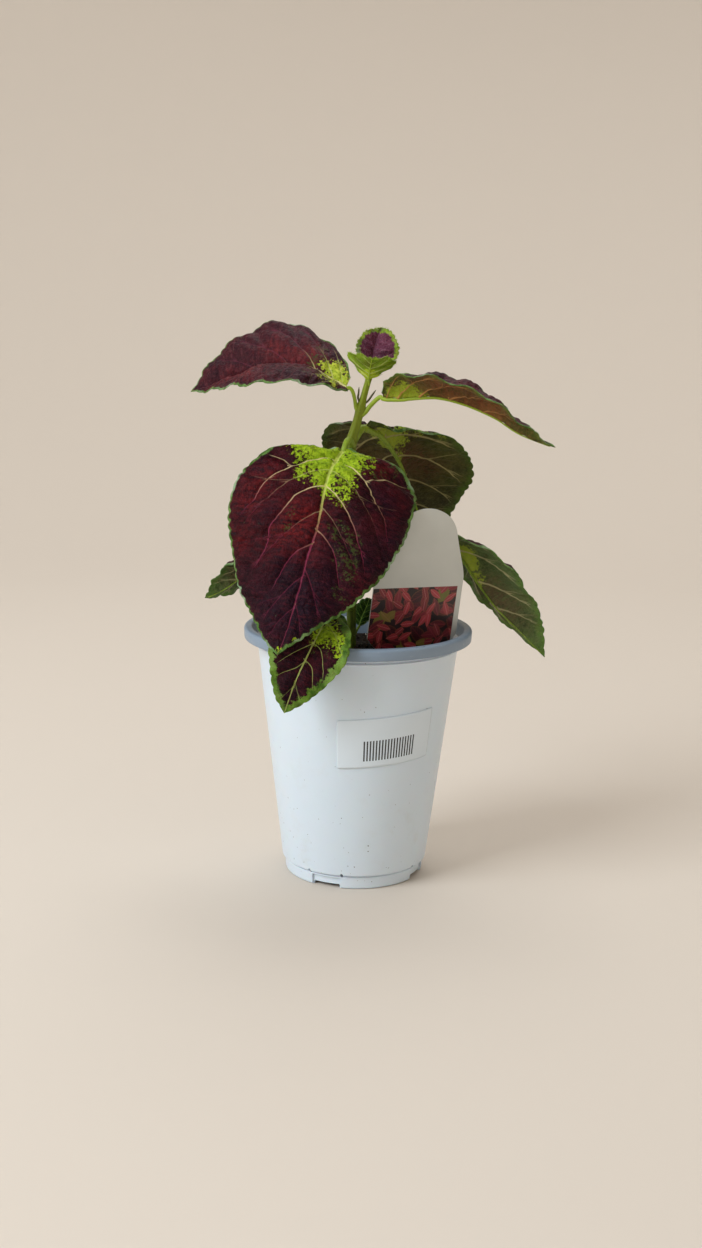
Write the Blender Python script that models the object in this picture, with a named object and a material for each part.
"""A young coleus in its nursery pot: pot, soil, plant tag, label, stem and leaves.

Metres, +Z up. The flat pad under the pot's floor lies at z = 0, with the pot's axis on the Z axis
and the photographed side towards -Y. Shape values in this file are millimetres, turned to metres by MM.
"""

import math

import bmesh
import bpy
import numpy as np

MM = 0.001

# The pot: radii and heights of its rings
POT_HEIGHT = 126.3
RIM_OUTER_R = 57.0
RIM_INNER_R = 53.2
RIM_BAND_BOTTOM = 120.6
RIM_SHEET = 1.3
WALL_TOP_R = 50.0
WALL_TOP_Z = 116.8
BEAD_R = 50.9
WALL_THICK = 1.2
GROOVE_R = 36.7
GROOVE_Z = 7.7
FOOT_R = 34.8
FOOT_INNER_R = 32.6
FLOOR_TOP = 6.4
FLOOR_UNDER = 4.9
PAD_R = 12.0
POT_SEGMENTS = 48

# The four notches of the foot, and the small drain holes
NOTCH_COUNT = 4
NOTCH_MIDDLE_DEG = -23.3
NOTCH_SPAN_DEG = 25.5
NOTCH_LIFT = 2.0
NOTCH_RECESS = 0.9
NOTCH_TOP = 6.4
CORNER_HOLE_R = 1.1
CORNER_HOLE_Z = 7.9
FLOOR_HOLE_R = 3.2
FLOOR_HOLE_AT = 22.5

# The soil
GAP = 0.3
SOIL_TOP = 112.0
SOIL_MOUND = 2.6

# The stem: heights of its nodes on the way up, with the stem's centre there
STEM_PATH = [
    (-3.0, 0.0, 98.0), (-3.1, 0.0, 112.0), (-3.4, 0.2, 126.0), (-3.9, 0.3, 141.0), (-4.4, 0.3, 158.0),
    (-4.9, 0.2, 176.0), (-5.3, 0.1, 198.0), (-5.0, 0.0, 217.0), (-2.7, 0.0, 227.0), (-0.2, 0.0, 237.0),
    (2.4, 0.1, 247.0), (3.6, 0.2, 251.5),
]
STEM_SIZES = [(98.0, 2.15), (130.0, 2.2), (200.0, 2.35), (231.0, 2.3), (240.0, 1.8), (247.0, 1.7), (252.0, 1.9)]
STEM_NODES = [137.0, 166.0, 219.0]
STEM_NODE_SWELL = 0.4
STEM_SIDES = 8

# The plant tag: its middle on the rim's height, turned about the vertical and leaning
TAG_AT = (26.9, -10.0)
TAG_TURN_DEG = 28.0
TAG_LEAN_DEG = 2.2
TAG_TIP_BACK_DEG = -8.0
TAG_THICK = 0.9
# Half-widths of the tag at heights over the rim, from its pointed foot up to its round head
TAG_HALVES = [
    (1.5, -32.0), (4.5, -25.0), (9.0, -17.0), (22.5, -6.5), (25.4, -3.0), (25.4, 4.0), (25.3, 22.0), (24.8, 29.5),
    (21.1, 40.4), (19.0, 46.5), (17.3, 51.9), (14.4, 56.4), (11.0, 59.2), (8.1, 60.7), (4.0, 62.0), (1.2, 62.3),
]

# The label on the wall
LABEL_FROM_DEG = -12.0
LABEL_TO_DEG = 51.0
LABEL_LOW_Z = 64.5
LABEL_HIGH_Z = 89.5
LABEL_SLANT = 3.2
LABEL_THICK = 0.6

LEAF_THICK = 0.8
YOUNG_THICK = 0.7


def clear_scene():
    for item in list(bpy.data.objects):
        bpy.data.objects.remove(item)


def even_curve(control, count):
    """A smooth curve through the control points, as count points at even spacing along it."""
    points = np.array(control, float)
    ends = np.vstack([2 * points[0] - points[1], points, 2 * points[-1] - points[-2]])
    fine = []
    for k in range(1, len(ends) - 2):
        a, b, c, d = ends[k - 1 : k + 3]
        for t in np.linspace(0, 1, 24, endpoint=False):
            fine.append(
                0.5 * (2 * b + (c - a) * t + (2 * a - 5 * b + 4 * c - d) * t**2 + (3 * b - a - 3 * c + d) * t**3)
            )
    fine.append(points[-1])
    fine = np.array(fine)
    run = np.concatenate([[0], np.cumsum(np.linalg.norm(np.diff(fine, axis=0), axis=1))])
    at = np.asarray(count, float) * run[-1] if np.ndim(count) else np.linspace(0, run[-1], count)
    return np.stack([np.interp(at, run, fine[:, axis]) for axis in range(3)], axis=1)


def unit(vectors):
    return vectors / (np.linalg.norm(vectors, axis=-1, keepdims=True) + 1e-12)


def make_object(name, points, faces, smooth=True):
    """A mesh object from points in millimetres, with every face turned outwards."""
    mesh = bpy.data.meshes.new(name)
    mesh.from_pydata([tuple(float(v) * MM for v in point) for point in points], [], faces)
    mesh.update()
    item = bpy.data.objects.new(name, mesh)
    bpy.context.scene.collection.objects.link(item)
    shell = bmesh.new()
    shell.from_mesh(mesh)
    bmesh.ops.recalc_face_normals(shell, faces=shell.faces)
    shell.to_mesh(mesh)
    shell.free()
    for face in mesh.polygons:
        face.use_smooth = smooth
    return item


def paint(item, colour, roughness=0.5):
    material = bpy.data.materials.new(item.name + "_skin")
    material.use_nodes = True
    shader = material.node_tree.nodes["Principled BSDF"]
    shader.inputs["Base Color"].default_value = (*colour, 1)
    shader.inputs["Roughness"].default_value = roughness
    item.data.materials.clear()
    item.data.materials.append(material)


def combine(item, other, operation):
    """Joins the other solid to this one, or cuts it away, and removes it."""
    modifier = item.modifiers.new("solid", "BOOLEAN")
    modifier.operation = operation
    modifier.solver = "EXACT"
    modifier.object = other
    graph = bpy.context.evaluated_depsgraph_get()
    graph.update()
    mesh = bpy.data.meshes.new_from_object(item.evaluated_get(graph))
    item.modifiers.clear()
    item.data = mesh
    bpy.data.objects.remove(other)


def ring_solid(name, profile, segments, start_deg=0.0, span_deg=360.0, smooth=True):
    """A profile of (radius, height) points turned about the Z axis: all the way, or by a span with end caps."""
    whole = span_deg >= 360.0
    steps = segments if whole else segments + 1
    points = []
    faces = []
    for k in range(steps):
        angle = math.radians(start_deg + span_deg * k / segments)
        for radius, height in profile:
            points.append((radius * math.sin(angle), -radius * math.cos(angle), height))
    size = len(profile)
    for k in range(segments):
        here = k * size
        there = ((k + 1) % steps) * size
        for j in range(size):
            after = (j + 1) % size
            faces.append((here + j, here + after, there + after, there + j))
    if not whole:
        faces.append(tuple(range(size)))
        faces.append(tuple(range((steps - 1) * size, steps * size)))
    item = make_object(name, points, faces, smooth)
    if whole:
        merge_axis(item)
    return item


def merge_axis(item):
    """Points of a turned solid that lie on the axis become one point."""
    shell = bmesh.new()
    shell.from_mesh(item.data)
    bmesh.ops.remove_doubles(shell, verts=shell.verts, dist=1e-6)
    bmesh.ops.recalc_face_normals(shell, faces=shell.faces)
    shell.to_mesh(item.data)
    shell.free()


def tube(name, path, radii, sides, turn_deg=0.0):
    """A closed tube of the given radii along the path, with domed-off flat ends."""
    path = np.array(path, float)
    radii = np.array(radii, float)
    along = unit(np.gradient(path, axis=0))
    side = np.cross(along[0], (0.3, 0.9, 0.1))
    points = []
    for k, centre in enumerate(path):
        side = unit(side - along[k] * np.dot(side, along[k]))
        across = np.cross(along[k], side)
        for j in range(sides):
            angle = math.radians(turn_deg) + 2 * math.pi * j / sides
            points.append(centre + radii[k] * (math.cos(angle) * side + math.sin(angle) * across))
    faces = []
    for k in range(len(path) - 1):
        for j in range(sides):
            after = (j + 1) % sides
            faces.append((k * sides + j, k * sides + after, (k + 1) * sides + after, (k + 1) * sides + j))
    faces.append(tuple(range(sides)))
    faces.append(tuple(range((len(path) - 1) * sides, len(path) * sides)))
    return make_object(name, points, faces)


def wall_radius(height):
    """Outer radius of the tapering wall at this height."""
    share = (height - GROOVE_Z) / (WALL_TOP_Z - GROOVE_Z)
    return GROOVE_R + (WALL_TOP_R - GROOVE_R) * share


def pot_profile():
    inner_low = wall_radius(FLOOR_TOP + 1.5) - WALL_THICK
    inner_high = WALL_TOP_R - WALL_THICK
    lip_in = RIM_OUTER_R - RIM_SHEET
    return [
        (0.0, 0.0), (PAD_R, 0.0), (PAD_R + 1.0, FLOOR_UNDER), (FOOT_INNER_R - 1.0, FLOOR_UNDER),
        (FOOT_INNER_R, 0.0), (FOOT_R - 0.4, 0.0), (FOOT_R, 0.5), (FOOT_R + 0.5, GROOVE_Z - 1.6),
        (GROOVE_R - 0.7, GROOVE_Z - 0.8), (GROOVE_R, GROOVE_Z), (WALL_TOP_R, WALL_TOP_Z),
        (BEAD_R, WALL_TOP_Z + 0.6), (BEAD_R, WALL_TOP_Z + 1.4), (WALL_TOP_R + 0.3, WALL_TOP_Z + 2.0),
        (WALL_TOP_R + 1.2, POT_HEIGHT - 2.2), (lip_in - 0.6, POT_HEIGHT - 2.2), (lip_in, RIM_BAND_BOTTOM),
        (RIM_OUTER_R - 0.3, RIM_BAND_BOTTOM), (RIM_OUTER_R, RIM_BAND_BOTTOM + 0.6),
        (RIM_OUTER_R, POT_HEIGHT - 1.3), (RIM_OUTER_R - 1.0, POT_HEIGHT), (RIM_INNER_R + 0.5, POT_HEIGHT),
        (RIM_INNER_R - 0.5, POT_HEIGHT - 0.8), (inner_high + 1.6, WALL_TOP_Z + 4.5), (inner_high, WALL_TOP_Z),
        (inner_low, FLOOR_TOP + 1.5), (inner_low - 1.2, FLOOR_TOP), (0.0, FLOOR_TOP),
    ]


def make_pot():
    pot = ring_solid("pot", pot_profile(), POT_SEGMENTS)
    for k in range(NOTCH_COUNT):
        middle = NOTCH_MIDDLE_DEG + 360.0 * k / NOTCH_COUNT
        recess_r = FOOT_R - NOTCH_RECESS
        notch = [
            (FOOT_INNER_R - 0.6, -2.0), (FOOT_INNER_R - 0.6, NOTCH_LIFT), (recess_r, NOTCH_LIFT),
            (recess_r, NOTCH_TOP - 0.6), (40.0, NOTCH_TOP - 0.6), (40.0, -2.0),
        ]
        start = middle - NOTCH_SPAN_DEG / 2
        combine(pot, ring_solid("notch", notch, 4, start, NOTCH_SPAN_DEG), "DIFFERENCE")
        for end in (-1, 1):
            angle = math.radians(middle + end * (NOTCH_SPAN_DEG / 2 + 1.2))
            out = np.array((math.sin(angle), -math.cos(angle), 0.0))
            low = np.array((0.0, 0.0, CORNER_HOLE_Z))
            hole = tube("hole", [out * 31.0 + low, out * 36.0 + low, out * 41.0 + low], [CORNER_HOLE_R] * 3, 8)
            combine(pot, hole, "DIFFERENCE")
        angle = math.radians(middle + 45.0)
        spot = np.array((math.sin(angle), -math.cos(angle), 0.0)) * FLOOR_HOLE_AT
        path = [spot + (0, 0, 2.0), spot + (0, 0, 5.0), spot + (0, 0, 9.0)]
        combine(pot, tube("drain", path, [FLOOR_HOLE_R] * 3, 12), "DIFFERENCE")
    paint(pot, (0.86, 0.87, 0.88), 0.35)
    return pot


def soil_height(x, y):
    """The soil's top: a low mound with gentle dips."""
    r = math.hypot(x, y) / 48.0
    dips = 0.7 * math.sin(x * 0.19 + 0.6) * math.cos(y * 0.16 - 0.4)
    return SOIL_TOP + SOIL_MOUND * (1 - r * r) + dips * (1 - r**4)


def make_soil():
    segments = 40
    bottom = FLOOR_TOP + GAP
    inset = WALL_THICK + GAP + 0.15
    low_r = wall_radius(bottom + 2.0) - inset
    shoulder_r = wall_radius(SOIL_TOP - 1.0) - inset
    rings = [(low_r - 1.4, bottom), (low_r, bottom + 2.0), (shoulder_r, SOIL_TOP - 1.0)]
    points = [(0.0, 0.0, bottom)]
    faces = []
    for radius, height in rings:
        for k in range(segments):
            angle = 2 * math.pi * k / segments
            points.append((radius * math.sin(angle), -radius * math.cos(angle), height))
    for radius in (shoulder_r - 1.1, 36.0, 24.0, 13.0):
        for k in range(segments):
            angle = 2 * math.pi * k / segments
            x = radius * math.sin(angle)
            y = -radius * math.cos(angle)
            points.append((x, y, soil_height(x, y)))
    points.append((0.0, 0.0, soil_height(0, 0)))
    for k in range(segments):
        after = (k + 1) % segments
        faces.append((0, 1 + after, 1 + k))
        for ring in range(6):
            low = 1 + ring * segments
            faces.append((low + k, low + after, low + segments + after, low + segments + k))
        top = 1 + 6 * segments
        faces.append((top + k, top + after, len(points) - 1))
    soil = make_object("soil", points, faces)
    hole_r = STEM_SIZES[0][1] + GAP + 0.15
    path = [(-3.0, 0.0, STEM_PATH[0][2] - GAP), (-3.05, 0.0, 110.0), (-3.2, 0.0, 120.0)]
    combine(soil, tube("stem_hole", path, [hole_r] * 3, 12), "DIFFERENCE")
    combine(soil, tag_solid("tag_slot", GAP + 0.05), "DIFFERENCE")
    paint(soil, (0.022, 0.017, 0.013), 0.95)
    return soil


def make_stem():
    path = even_curve(STEM_PATH, 32)
    heights, sizes = zip(*STEM_SIZES)
    radii = []
    for point in path:
        swell = sum(STEM_NODE_SWELL * math.exp(-(((point[2] - node) / 3.2) ** 2)) for node in STEM_NODES)
        radii.append(np.interp(point[2], heights, sizes) + swell)
    stem = tube("stem", path, radii, STEM_SIDES)
    paint(stem, (0.42, 0.45, 0.22), 0.5)
    return stem


def tag_outline(grow):
    """The tag's edge as (across, up) points, once round, widened by grow."""
    right = [(half + grow, up + grow * (1 if up > 50 else -1 if up < -30 else 0)) for half, up in TAG_HALVES]
    left = [(-across, up) for across, up in reversed(right)]
    return right + left


def tag_place(across, out, up):
    """A point of the tag's own frame, put where the tag stands: leaning right, turned, tipped back."""
    lean = math.radians(TAG_LEAN_DEG)
    turn = math.radians(TAG_TURN_DEG)
    tip = math.radians(TAG_TIP_BACK_DEG)
    x = across * math.cos(lean) + up * math.sin(lean)
    z = -across * math.sin(lean) + up * math.cos(lean)
    y = out * math.cos(tip) + z * math.sin(tip)
    z = z * math.cos(tip) - out * math.sin(tip)
    return (
        TAG_AT[0] + x * math.cos(turn) - y * math.sin(turn),
        TAG_AT[1] + x * math.sin(turn) + y * math.cos(turn),
        POT_HEIGHT + z,
    )


def tag_solid(name, grow):
    outline = tag_outline(grow)
    half = TAG_THICK / 2 + grow
    points = [tag_place(a, -half, u) for a, u in outline] + [tag_place(a, half, u) for a, u in outline]
    size = len(outline)
    faces = [tuple(range(size)), tuple(range(2 * size - 1, size - 1, -1))]
    for k in range(size):
        after = (k + 1) % size
        faces.append((k, after, size + after, size + k))
    return make_object(name, points, faces, smooth=False)


def make_tag():
    tag = tag_solid("plant_tag", 0.0)
    paint(tag, (0.86, 0.87, 0.88), 0.35)
    return tag


def make_label():
    columns = 16
    points = []
    faces = []
    for k in range(columns + 1):
        share = k / columns
        angle = math.radians(LABEL_FROM_DEG + (LABEL_TO_DEG - LABEL_FROM_DEG) * share)
        for height in (LABEL_LOW_Z + LABEL_SLANT * share, LABEL_HIGH_Z + LABEL_SLANT * share):
            for out in (GAP, GAP + LABEL_THICK):
                radius = wall_radius(height) + out
                points.append((radius * math.sin(angle), -radius * math.cos(angle), height))
    for k in range(columns):
        a = k * 4
        b = a + 4
        faces += [(a, b, b + 1, a + 1), (a + 1, b + 1, b + 3, a + 3), (a + 3, b + 3, b + 2, a + 2), (a + 2, b + 2, b, a)]
    faces.append((0, 1, 3, 2))
    last = columns * 4
    faces.append((last, last + 2, last + 3, last + 1))
    label = make_object("pot_label", points, faces)
    paint(label, (0.9, 0.91, 0.92), 0.3)
    return label


def leaf_blade(name, leaf):
    """The blade: rows run from the midrib out to each toothed margin, arched in between.

    Left and right are named so that midrib direction x (right - left) points to the upper face.
    """
    teeth = leaf["teeth"]
    rows = 2 * teeth
    share = np.linspace(0, 1, rows + 1)
    lean = leaf.get("lean", 2.0)
    middle = even_curve(leaf["midrib"], share**lean)
    before = even_curve(leaf["midrib"], np.clip(share**lean - 0.02, 0, 1))
    after = even_curve(leaf["midrib"], np.clip(share**lean + 0.02, 0, 1))
    along = unit(after - before)
    margins = [even_curve(leaf["left"], share), even_curve(leaf["right"], share)]
    across = unit(margins[1] - margins[0] + 1e-6)
    across[-1] = across[-2]
    upward = unit(np.cross(along, across))
    upward[0] = upward[1]
    waves = leaf.get("waves", 6.0)
    ripple = leaf.get("ripple", 0.8)
    depth = leaf.get("tooth", 1.1)
    fade = np.clip(np.minimum(share / 0.08, (1 - share) / 0.07), 0, 1)
    smooth_margins = [margin.copy() for margin in margins]
    for number, margin in enumerate(margins):
        outward = unit(margin - middle + 1e-9)
        edge = unit(np.gradient(margin, axis=0))
        slant = np.linalg.norm(np.cross(outward, edge), axis=1)
        outward = unit(outward - edge * np.sum(outward * edge, axis=1, keepdims=True) * 0.8)
        bite = np.where(np.arange(rows + 1) % 2 == 0, -0.5, 0.5) * depth * fade * np.clip(slant * 2.5 - 0.9, 0, 1)
        wave = ripple * fade * np.sin(2 * math.pi * waves * share + 1.7 * number)
        margins[number] = margin + outward * bite[:, None] + upward * wave[:, None]
        margins[number][-1] = leaf["midrib"][-1]
    stations = leaf.get("stations", (0.42, 0.76))
    bulge = leaf.get("bulge", (4.0, 4.0))
    grid = []
    smooth_grid = []
    for number, margin in enumerate(margins):
        columns = [middle]
        for t in stations:
            lift = bulge[number] * 4 * t * (1 - t) * np.sin(math.pi * share) ** 1.3
            columns.append(middle + (margin - middle) * t + upward * lift[:, None])
        grid.append(columns + [margin])
        smooth_grid.append(columns + [smooth_margins[number]])
    normals = [blade_normals(smooth_grid, side, along, upward) for side in (0, 1)]
    return blade_solid(name, grid, normals, rows, leaf.get("thick", LEAF_THICK))


def blade_normals(grid, side, along, upward):
    """Upward normals at each point of one side, evened out along the rows."""
    columns = grid[side]
    last = len(columns) - 1
    turn = 1.0 if side == 1 else -1.0
    found = []
    for number in range(last + 1):
        if number == 0:
            across = unit(grid[1][1] - grid[0][1] + 1e-9)
            normal = np.cross(along, across)
        else:
            lengthwise = np.gradient(columns[number], axis=0)
            across = (columns[min(number + 1, last)] - columns[number - 1]) * turn
            normal = np.cross(lengthwise, across)
        normal = unit(normal + 1e-12)
        normal = np.where(np.sum(normal * upward, axis=1, keepdims=True) < 0.15, upward, normal)
        padded = np.vstack([normal[:1], normal[:1], normal, normal[-1:], normal[-1:]])
        found.append(unit(sum(padded[k : k + len(normal)] for k in range(5))))
    return found


def blade_solid(name, grid, normals, rows, thick):
    """Upper and lower skins with the same triangles, closed along the edge."""
    index = {}
    points = []
    pushes = []

    def spot(side, column, row):
        if row == rows:
            key = ("tip",)
        elif column == 0:
            key = ("middle", row)
        else:
            key = (side, column, row)
        if key not in index:
            index[key] = len(points)
            points.append(grid[side][column][row])
            pushes.append(normals[side][column][row])
        return index[key]

    last = len(grid[0]) - 1
    skin = []
    border = [[], []]
    for side in (0, 1):
        turned = side == 1
        for row in range(0, rows, 2):
            for column in range(last):
                a = spot(side, column, row)
                b = spot(side, column, row + 2)
                c = spot(side, column + 1, row)
                d = spot(side, column + 1, row + 2)
                if column + 1 == last:
                    m = spot(side, last, row + 1)
                    new = [(a, c, m), (a, m, b), (b, m, d)]
                else:
                    new = [(a, c, d), (a, d, b)]
                for face in new:
                    if len(set(face)) == 3:
                        skin.append(face[::-1] if turned else face)
        border[side] = [spot(side, last, row) for row in range(rows + 1)]
    start_left = [spot(0, column, 0) for column in range(last, 0, -1)]
    start_right = [spot(1, column, 0) for column in range(0, last)]
    loop = start_left + start_right + border[1][:-1] + border[0][::-1][:-1]
    points = np.array(points)
    pushes = np.array(pushes)
    count = len(points)
    both = np.vstack([points + pushes * thick / 2, points - pushes * thick / 2])
    faces = list(skin) + [tuple(v + count for v in face[::-1]) for face in skin]
    for k, here in enumerate(loop):
        there = loop[(k + 1) % len(loop)]
        faces.append((here, there, there + count))
        faces.append((here, there + count, here + count))
    return make_object(name, both, faces)


def make_leaf(name, leaf, colour):
    item = leaf_blade(name, leaf)
    stalk = leaf.get("petiole")
    if stalk:
        path = even_curve(stalk, leaf.get("petiole_steps", 9))
        size = leaf.get("petiole_r", (1.7, 1.25, 0.55))
        radii = np.interp(np.linspace(0, 1, len(path)), np.linspace(0, 1, len(size)), size)
        blade = item.data
        # A join that lost the blade's corners is made again with the stalk turned a little.
        for turn_deg in (12.0, 19.0, 27.0, 36.0):
            item.data = blade.copy()
            combine(item, tube("stalk", path, radii, 7, turn_deg), "UNION")
            if len(item.data.vertices) > len(blade.vertices):
                break
    paint(item, colour, 0.45)
    return item


LEAF_FRONT = {
    "midrib": [(-9, -12, 215), (-14, -25, 208), (-17, -35, 199), (-20, -46, 183), (-24, -53, 170), (-29, -62, 151),
               (-33, -68, 137), (-37, -73, 127)],
    "left": [(-13, -9, 216.5), (-21, -13, 213.5), (-30, -15, 215.5), (-42, -17, 216), (-54, -19, 208.5),
             (-61, -23, 197), (-63, -29, 184), (-60, -39, 167), (-56, -48, 152), (-49, -58, 141), (-43, -67, 132),
             (-37, -73, 127)],
    "right": [(-5, -9, 216), (0, -11, 213), (8, -12, 212), (17, -14, 207.5), (23, -17, 202), (26.5, -20, 194),
              (24.5, -27, 184), (20.5, -36, 173.5), (12, -46, 161), (3, -53, 152), (-10, -60, 142.5),
              (-25, -68, 134.5), (-37, -73, 127)],
    "teeth": 30, "bulge": (4.5, 4.5), "ripple": 1.0,
    "petiole": [(-5.7, -3.0, 218.6), (-6.7, -6, 219.2), (-9.0, -12, 214.8), (-12, -20.5, 210.2), (-14.6, -28, 204.8)],
}
LEAF_BACK = {
    "midrib": [(2, 8, 226), (9, 18, 222), (15, 28, 214), (21, 40, 203), (27, 50, 187), (34, 56, 169), (40, 58, 155)],
    "right": [(-2, 8, 227), (-9, 14, 227), (-14, 22, 225), (-19, 30, 221), (-20, 36, 215), (-18, 42, 202),
              (-11, 48, 186), (6, 54, 170), (24, 57, 159), (40, 58, 155)],
    "left": [(4, 9, 228), (18, 16, 223), (28, 24, 222), (40, 30, 220), (51, 34, 215), (57, 39, 205), (58, 44, 197),
             (54, 49, 187), (49, 53, 179), (44, 56, 166), (40, 58, 155)],
    "teeth": 26, "bulge": (3.0, 3.0), "ripple": 1.0, "lean": 1.6,
    "petiole": [(-2.4, 3.45, 220.7), (-1.2, 4.9, 222.4), (2.2, 8.4, 225.4), (6.5, 14, 223.2), (11.5, 21.5, 218.6)],
}
LEAF_TOP_LEFT = {
    "midrib": [(-8, -1, 245), (-16, 3, 249), (-26, 6, 254), (-39, 10, 255), (-54, 14, 251), (-68, 18, 246),
               (-86, 22, 240)],
    "left": [(-6, 3, 249), (-9, 12, 258), (-17, 22, 265), (-29, 32, 272), (-44, 38, 275), (-57, 38, 270),
             (-70, 35, 262), (-79, 29, 251), (-86, 22, 240)],
    "right": [(-7, -5, 243), (-16, -14, 245), (-27, -22, 247), (-40, -22, 248), (-53, -14, 246), (-65, -2, 244),
              (-76, 12, 241), (-86, 22, 240)],
    "teeth": 24, "bulge": (3.0, 3.0), "ripple": 1.0,
    "petiole": [(-4.7, 0, 232.9), (-4.9, -0.1, 235.2), (-4.7, -0.3, 239.6), (-6.4, -0.4, 243.8), (-10.0, 0.6, 246.3),
                (-15.5, 2.6, 248.6), (-22.5, 5.0, 251.9)],
    "petiole_r": (1.0, 1.25, 1.2, 1.0, 0.5),
}
LEAF_TOP_RIGHT = {
    "midrib": [(10, -2, 241), (18, -6, 241), (27, -10, 242), (38, -14, 242), (50, -18, 239), (63, -22, 233),
               (74, -26, 226), (91, -30, 220)],
    "right": [(9, 4, 242), (14, 14, 248), (26, 20, 251), (43, 18, 250), (59, 8, 244), (72, -6, 234), (82, -18, 226),
              (91, -30, 220)],
    "left": [(9, -6, 243), (11, -16, 250), (19, -28, 252), (32, -36, 252), (45, -40, 248), (58, -40, 243),
             (73, -37, 232), (83, -33, 225), (91, -30, 220)],
    "teeth": 24, "bulge": (2.5, 2.5), "ripple": 1.0,
    "petiole": [(1.9, -0.1, 231.1), (3.6, -0.2, 233.2), (5.8, -0.6, 237.2), (10.5, -2.4, 240.4), (18, -6, 240.3),
                (26, -9.6, 241.1)],
    "petiole_r": (1.1, 1.4, 1.4, 1.1, 0.5),
}
LEAF_LOWER_RIGHT = {
    "midrib": [(27, 12, 172), (35, 15, 172), (44, 17, 167.5), (52.5, 18, 159.5), (60.5, 19, 147.5), (71, 20, 133.5),
               (85, 21, 119.5), (97, 21, 107.5)],
    "left": [(28, 8, 173), (35, 1, 176), (46.5, -3, 173.5), (57.5, -4, 169.5), (68, -3, 163.5), (77, 0, 155.5),
             (85, 6, 144.5), (92, 13, 133.5), (95, 18, 122.5), (97, 21, 107.5)],
    "right": [(27, 16, 171), (33, 26, 168.5), (40.5, 33, 163.5), (46.5, 36, 155.5), (53.5, 35, 146.5),
              (62, 31, 136.5), (75, 26, 124.5), (97, 21, 107.5)],
    "teeth": 20, "bulge": (2.5, 2.5), "ripple": 0.9, "stations": (0.5,),
    "petiole": [(-1.15, 0.6, 166.6), (6, 3, 169.5), (16, 8, 172), (27, 12, 171.6), (36, 15.2, 171.2)],
}
LEAF_LOWER_LEFT = {
    "midrib": [(-28, 5, 167), (-38, 7, 164), (-50, 9, 157), (-60, 10, 149), (-69, 11, 142), (-78, 12, 137)],
    "left": [(-28, 9, 165), (-36, 20, 158), (-47, 24, 150), (-58, 22, 142), (-68, 17, 137.5), (-78, 12, 137)],
    "right": [(-27, 1, 168), (-35, -8, 168), (-46, -10, 164), (-58, -7, 160), (-67, -1, 155), (-74, 6, 146),
              (-78, 12, 137)],
    "teeth": 15, "bulge": (2.0, 2.0), "ripple": 0.8, "stations": (0.5,),
    "petiole": [(-8.35, 0.7, 166.7), (-13, 1.6, 168.6), (-20, 3.2, 168.6), (-28, 5, 166.6), (-37, 7, 163.6)],
}
LEAF_LOW_FRONT = {
    "midrib": [(-15, -28, 138), (-16, -40, 139), (-17, -50, 136), (-21, -58, 129), (-25, -62, 121), (-29, -64, 112),
               (-34, -63, 97)],
    "left": [(-18, -28, 138), (-28, -40, 139), (-37, -52, 136), (-41, -60, 130), (-41, -63, 123), (-40, -64, 114),
             (-38, -64, 105), (-34, -63, 97)],
    "right": [(-12, -30, 139), (-7, -42, 139), (-4, -54, 135), (-4, -62, 128), (-6, -65, 122), (-11, -66, 115),
              (-20, -65, 106), (-28, -64, 100), (-34, -63, 97)],
    "teeth": 16, "bulge": (2.0, 2.0), "ripple": 0.6, "stations": (0.5,),
    "petiole": [(-4.9, -3.1, 137.2), (-7, -9, 138.6), (-11, -19, 138.6), (-15, -28, 137.6), (-16, -36, 138.0)],
}
LEAF_YOUNG_BACK = {
    "midrib": [(3.9, 0.8, 252.2), (4.6, 3.0, 257), (5.4, 5.2, 263), (6.8, 6.2, 268), (8.6, 6.0, 273)],
    "right": [(2.5, 0.9, 252.4), (-1.6, 1.6, 258), (-3.4, 1.2, 263), (-1.8, 2.2, 268), (1.8, 4.2, 271.5),
              (8.6, 6.0, 273)],
    "left": [(5.6, 0.8, 252.4), (12.2, 1.0, 255.2), (16.2, 0.8, 259.2), (17.0, 1.2, 263.4), (15.4, 2.4, 268),
             (12.6, 4.2, 271.6), (8.6, 6.0, 273)],
    "teeth": 9, "bulge": (0.6, 0.6), "ripple": 0.9, "waves": 4.0, "tooth": 1.2, "stations": (0.5,),
    "thick": YOUNG_THICK, "lean": 1.4,
}
LEAF_YOUNG_FRONT = {
    "midrib": [(2.7, -2.4, 248.6), (3.1, -4.8, 251.6), (3.6, -8.2, 255.8), (4.2, -12.4, 259.0)],
    "left": [(0.9, -2.4, 249.0), (-2.6, -3.4, 253.2), (-5.8, -4.4, 257.2), (-7.4, -6.2, 260.6), (-3.4, -10.4, 260.8),
             (4.2, -12.4, 259.0)],
    "right": [(4.8, -2.4, 249.0), (9.4, -3.4, 252.0), (13.6, -4.4, 254.8), (15.6, -6.4, 257.2), (11.8, -10.4, 259.2),
              (4.2, -12.4, 259.0)],
    "teeth": 10, "bulge": (-0.8, -0.8), "ripple": 0.9, "waves": 4.0, "tooth": 1.2, "stations": (0.5,),
    "thick": YOUNG_THICK, "lean": 1.4,
}
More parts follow.
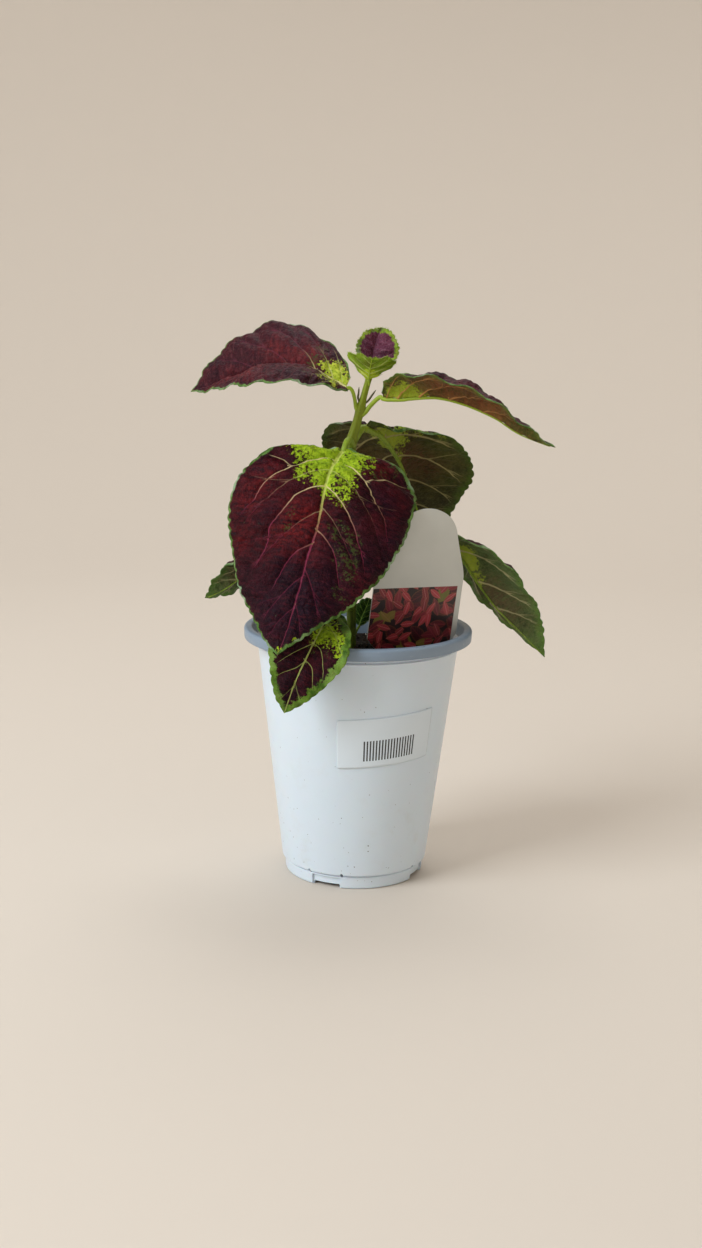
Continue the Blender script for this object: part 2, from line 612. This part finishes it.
LEAF_BASAL_RIGHT = {
    "midrib": [(0.4, 4.4, 125.5), (1.6, 6.2, 129), (3.6, 7.6, 133.5), (5.6, 8.2, 139)],
    "left": [(1.8, 3.8, 125.5), (5.4, 4.2, 128), (8.0, 5.4, 132), (8.0, 7.2, 136.5), (5.6, 8.2, 139)],
    "right": [(-0.8, 5.0, 126), (-2.2, 6.8, 129.5), (-1.6, 8.0, 134), (1.6, 8.4, 138), (5.6, 8.2, 139)],
    "teeth": 6, "bulge": (0.6, 0.6), "ripple": 0.3, "tooth": 0.7, "stations": (0.5,), "thick": YOUNG_THICK,
    "lean": 1.5, "petiole": [(-2.1, 3.05, 120.0), (-0.8, 4.0, 122.8), (0.6, 4.7, 126.2), (1.6, 6.1, 129.4)],
    "petiole_steps": 5, "petiole_r": (0.8, 0.7, 0.5),
}
LEAF_BASAL_LEFT = {
    "midrib": [(-7.4, -2.4, 120.5), (-9.0, -4.0, 124), (-10.6, -5.6, 127.5), (-13.0, -7.4, 130.5)],
    "left": [(-8.2, -1.2, 120.8), (-11.0, -0.6, 123.5), (-13.6, -1.8, 127), (-14.6, -4.6, 129.8), (-13.0, -7.4, 130.5)],
    "right": [(-6.4, -3.2, 120.8), (-6.4, -5.8, 123.5), (-7.0, -8.0, 127.5), (-9.8, -8.8, 130), (-13.0, -7.4, 130.5)],
    "teeth": 6, "bulge": (0.6, 0.6), "ripple": 0.3, "tooth": 0.7, "stations": (0.5,), "thick": YOUNG_THICK,
    "lean": 1.5, "petiole": [(-6.1, -1.25, 117.2), (-6.8, -1.9, 119.2), (-7.8, -2.8, 121.4), (-9.0, -4.0, 124)],
    "petiole_steps": 5, "petiole_r": (0.8, 0.7, 0.5),
}
AXIL_TWIGS = {
    "axil_twig_left": [(-2.2, -0.6, 239.4), (-2.0, -0.8, 241.4), (-1.8, -0.9, 244.6)],
    "axil_twig_right": [(3.0, -0.4, 238.4), (4.5, -0.4, 240.6), (6.4, -0.4, 243.3)],
}
LEAVES = [
    ("leaf_front", LEAF_FRONT, (0.07, 0.012, 0.03)),
    ("leaf_back", LEAF_BACK, (0.10, 0.09, 0.04)),
    ("leaf_top_left", LEAF_TOP_LEFT, (0.09, 0.014, 0.035)),
    ("leaf_top_right", LEAF_TOP_RIGHT, (0.13, 0.08, 0.03)),
    ("leaf_lower_right", LEAF_LOWER_RIGHT, (0.12, 0.12, 0.05)),
    ("leaf_lower_left", LEAF_LOWER_LEFT, (0.11, 0.11, 0.05)),
    ("leaf_low_front", LEAF_LOW_FRONT, (0.07, 0.014, 0.03)),
    ("leaf_young_back", LEAF_YOUNG_BACK, (0.10, 0.014, 0.05)),
    ("leaf_young_front", LEAF_YOUNG_FRONT, (0.16, 0.25, 0.05)),
    ("leaf_basal_right", LEAF_BASAL_RIGHT, (0.05, 0.10, 0.03)),
    ("leaf_basal_left", LEAF_BASAL_LEFT, (0.05, 0.10, 0.03)),
]

clear_scene()
make_pot()
make_soil()
make_tag()
make_label()
make_stem()
for leaf_name, leaf_shape, leaf_colour in LEAVES:
    make_leaf(leaf_name, leaf_shape, leaf_colour)
for twig_name, twig_path in AXIL_TWIGS.items():
    paint(tube(twig_name, even_curve(twig_path, 4), [0.55, 0.5, 0.4, 0.3], 6), (0.06, 0.05, 0.03), 0.6)
